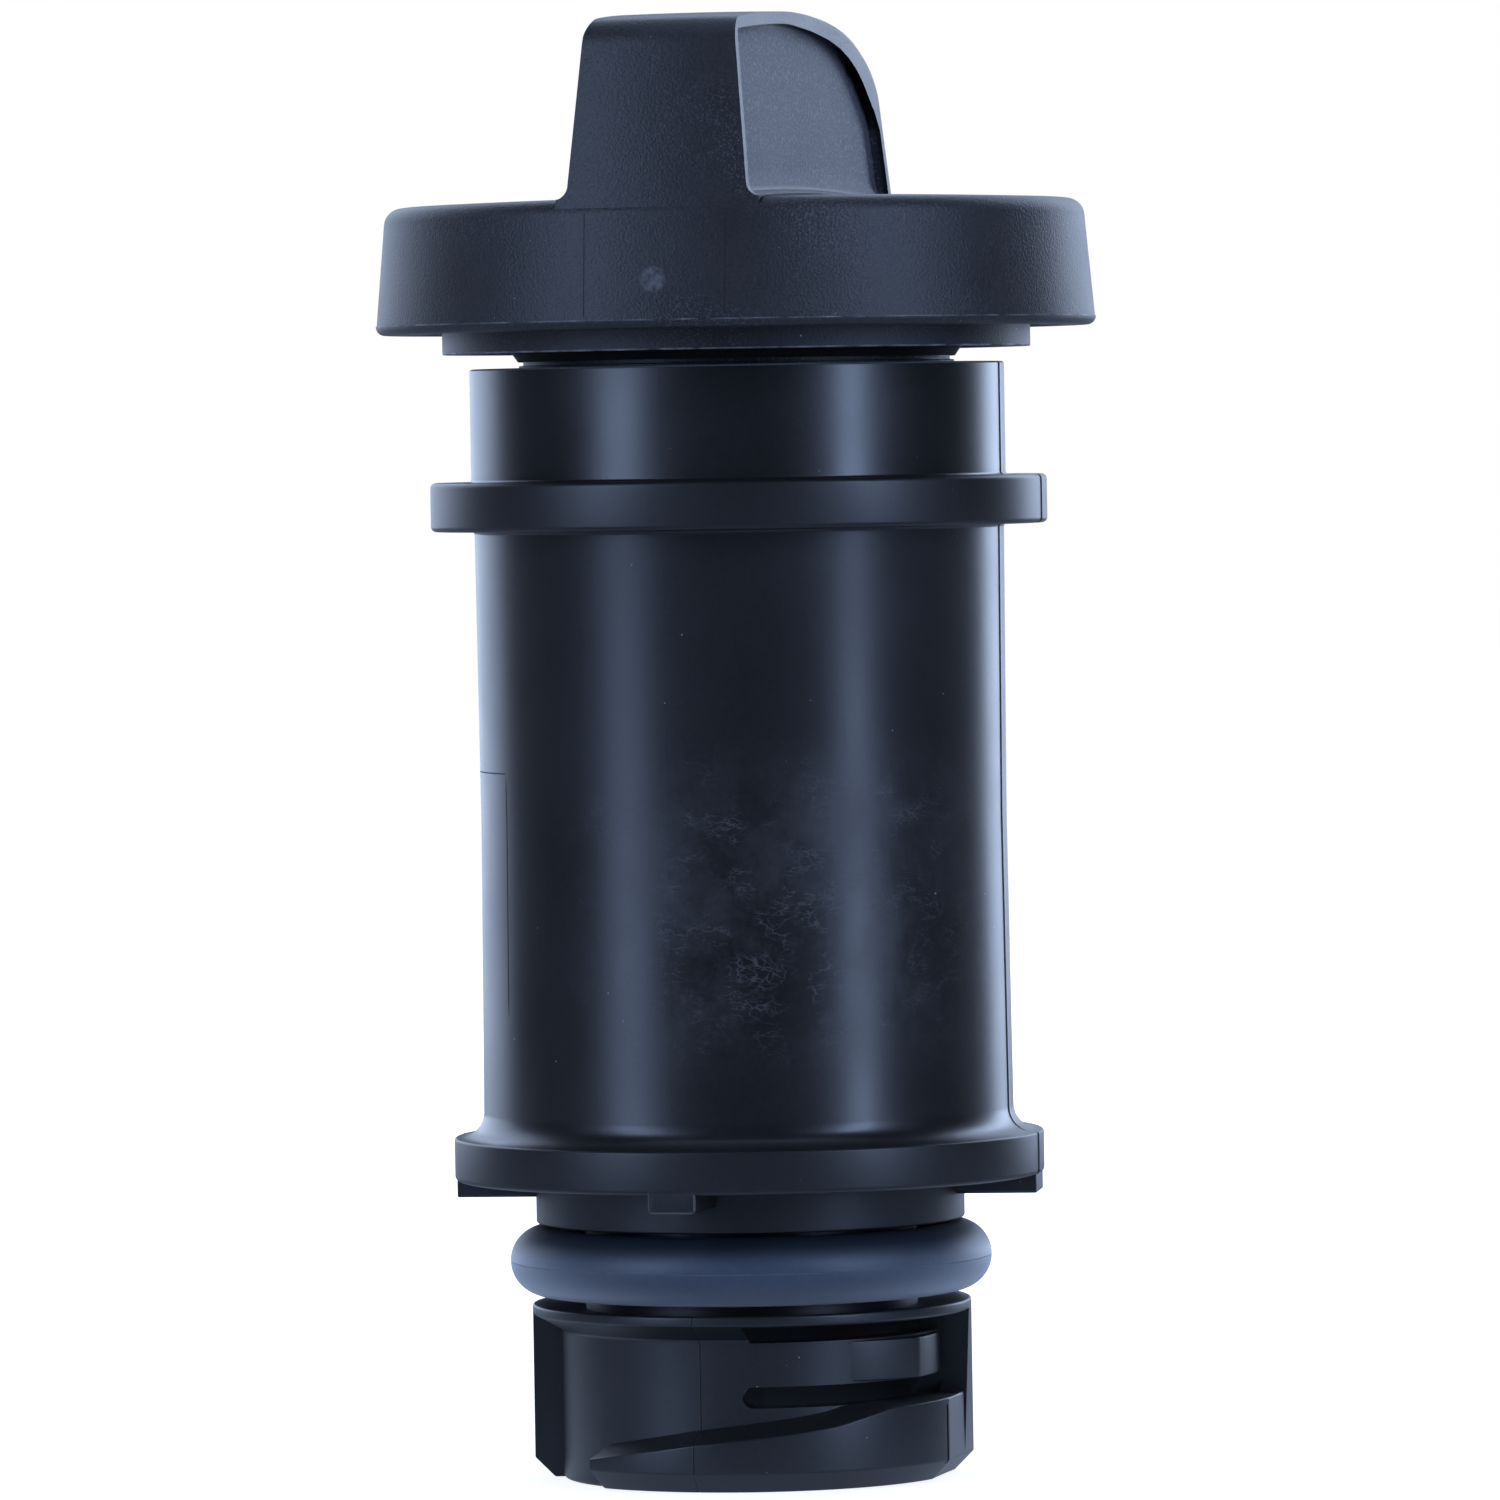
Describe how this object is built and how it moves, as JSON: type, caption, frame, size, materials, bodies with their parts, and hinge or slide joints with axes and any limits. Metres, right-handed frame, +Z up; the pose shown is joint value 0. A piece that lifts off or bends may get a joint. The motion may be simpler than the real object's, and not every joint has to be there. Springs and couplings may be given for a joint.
{
  "type": "oil filler cap on a filler neck",
  "caption": "Twist-on oil filler cap with a thumb tab, on a plug-in filler neck with flanges, a seal ring and a twist-lock foot.",
  "frame": {"origin": "centre of the foot's flat lower end, on the neck's axis", "axes": "+Z up the neck's axis towards the cap, +Y along the cap's thumb tab, away from the front"},
  "size_m": [0.058, 0.058, 0.1178],
  "materials": {
    "neck_plastic": "satin black moulded plastic",
    "cap_plastic": "fine-grained black moulded plastic",
    "gasket_rubber": "black moulded rubber",
    "seal_rubber": "blue-grey moulded rubber"
  },
  "bodies": {
    "neck": {"filler_neck": "neck_plastic", "neck_o_ring": "seal_rubber"},
    "seal": {"cap_gasket": "gasket_rubber"},
    "cap": {"cap_body": "cap_plastic"}
  },
  "joints": [
    {"name": "cap_rise", "type": "slide", "parent": "neck", "child": "seal", "axis": [0, 0, 1], "range_m": [-0.0014, 0.0004]},
    {"name": "cap_turn", "type": "hinge", "parent": "seal", "child": "cap", "pos_m": [0, 0, 0.0927], "axis": [0, 0, 1], "range_deg": [-70, 20]}
  ],
  "couplings": [
    {"joint": "cap_turn", "follows": "cap_rise", "rad_per_m": 872.66}
  ]
}
